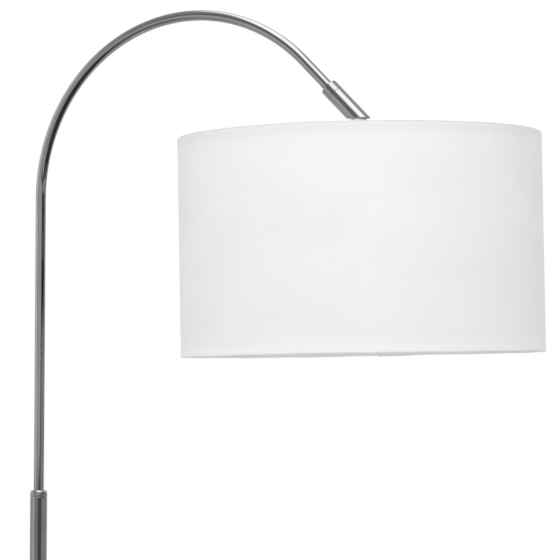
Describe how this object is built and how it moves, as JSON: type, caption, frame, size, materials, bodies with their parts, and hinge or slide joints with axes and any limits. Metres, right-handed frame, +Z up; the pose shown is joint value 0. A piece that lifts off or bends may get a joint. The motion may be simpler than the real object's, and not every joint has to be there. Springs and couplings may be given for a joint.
{
  "type": "arc floor lamp",
  "caption": "Floor lamp with a round weighted base, straight pole, hooked swivelling arm and a white drum shade that tilts on a knuckle under the arm's end.",
  "frame": {"origin": "on the pole's axis, at the underside of the base pad, where the lamp stands on the floor", "axes": "+Z up along the pole; the arm reaches from the pole along +X; +Y is across the arm"},
  "size_m": [0.9237, 0.508, 1.8309],
  "materials": {
    "polished_metal": "polished nickel plate",
    "cast_iron": "rough, painted black",
    "zinc_steel": "zinc plated",
    "felt": "pressed black felt",
    "rubber": "matt",
    "lead_cover": "smooth",
    "acetal": "machined",
    "white_metal": "white enamel",
    "white_plastic": "moulded, satin",
    "ceramic": "unglazed ceramic",
    "brass": "satin",
    "aluminium": "satin",
    "bulb_glass": "frosted",
    "shade_fabric": "fine plain weave, white",
    "shade_liner": "smooth white sheet"
  },
  "bodies": {
    "stand": {"base_pad": "felt", "base_weight": "cast_iron", "base_cover": "polished_metal", "cord_bush": "rubber", "base_stud": "zinc_steel", "base_nut": "zinc_steel", "base_washer": "zinc_steel", "pole_foot": "polished_metal", "pole_foot_insert": "zinc_steel", "pole_lower": "polished_metal", "pole_joint_socket": "zinc_steel", "pole_joint_stud": "zinc_steel", "pole_upper": "polished_metal", "collar_ring": "polished_metal", "collar": "polished_metal", "swivel_bush": "acetal", "swivel_stop_pin": "zinc_steel", "thrust_washer": "acetal", "thrust_seat": "zinc_steel", "lower_lead": "lead_cover"},
    "arm": {"arm_tube": "polished_metal", "arm_foot": "acetal", "arm_stop_screw": "zinc_steel", "coupler_ring": "polished_metal", "coupler": "polished_metal", "coupler_screw": "zinc_steel", "coupler_plug": "zinc_steel", "neck_nipple": "zinc_steel", "knuckle_fork": "white_metal", "pivot_screw_left": "white_metal", "pivot_screw_right": "white_metal", "upper_lead": "lead_cover", "coupler_wires": "lead_cover"},
    "shade": {"knuckle_tongue": "white_metal", "holder_cap": "white_plastic", "holder_body": "white_plastic", "holder_core": "ceramic", "screw_shell": "brass", "centre_contact": "brass", "shade_clamp_ring": "white_plastic", "switch_block": "ceramic", "bulb_contact": "brass", "bulb_cap": "aluminium", "bulb_glass": "bulb_glass", "shade_fabric": "shade_fabric", "shade_liner": "shade_liner", "rim_wire_top": "white_metal", "rim_wire_bottom": "white_metal", "spider_hub": "white_metal", "spider_arm_1": "white_metal", "spider_arm_2": "white_metal", "spider_arm_3": "white_metal", "holder_wires": "lead_cover"},
    "switch_key": {"switch_shaft": "brass", "switch_knob": "white_plastic"}
  },
  "joints": [
    {"name": "arm_swivel", "type": "hinge", "parent": "stand", "child": "arm", "pos_m": [0, 0, 1.124], "axis": [0, 0, 1], "range_deg": [-165, 165]},
    {"name": "shade_tilt", "type": "hinge", "parent": "arm", "child": "shade", "pos_m": [0.52462, 0, 1.65441], "axis": [0, 1, 0], "range_deg": [-15, 15]},
    {"name": "switch_turn", "type": "hinge", "parent": "shade", "child": "switch_key", "pos_m": [0.52538, -0.03, 1.62412], "axis": [0, 1, 0], "continuous": true}
  ]
}
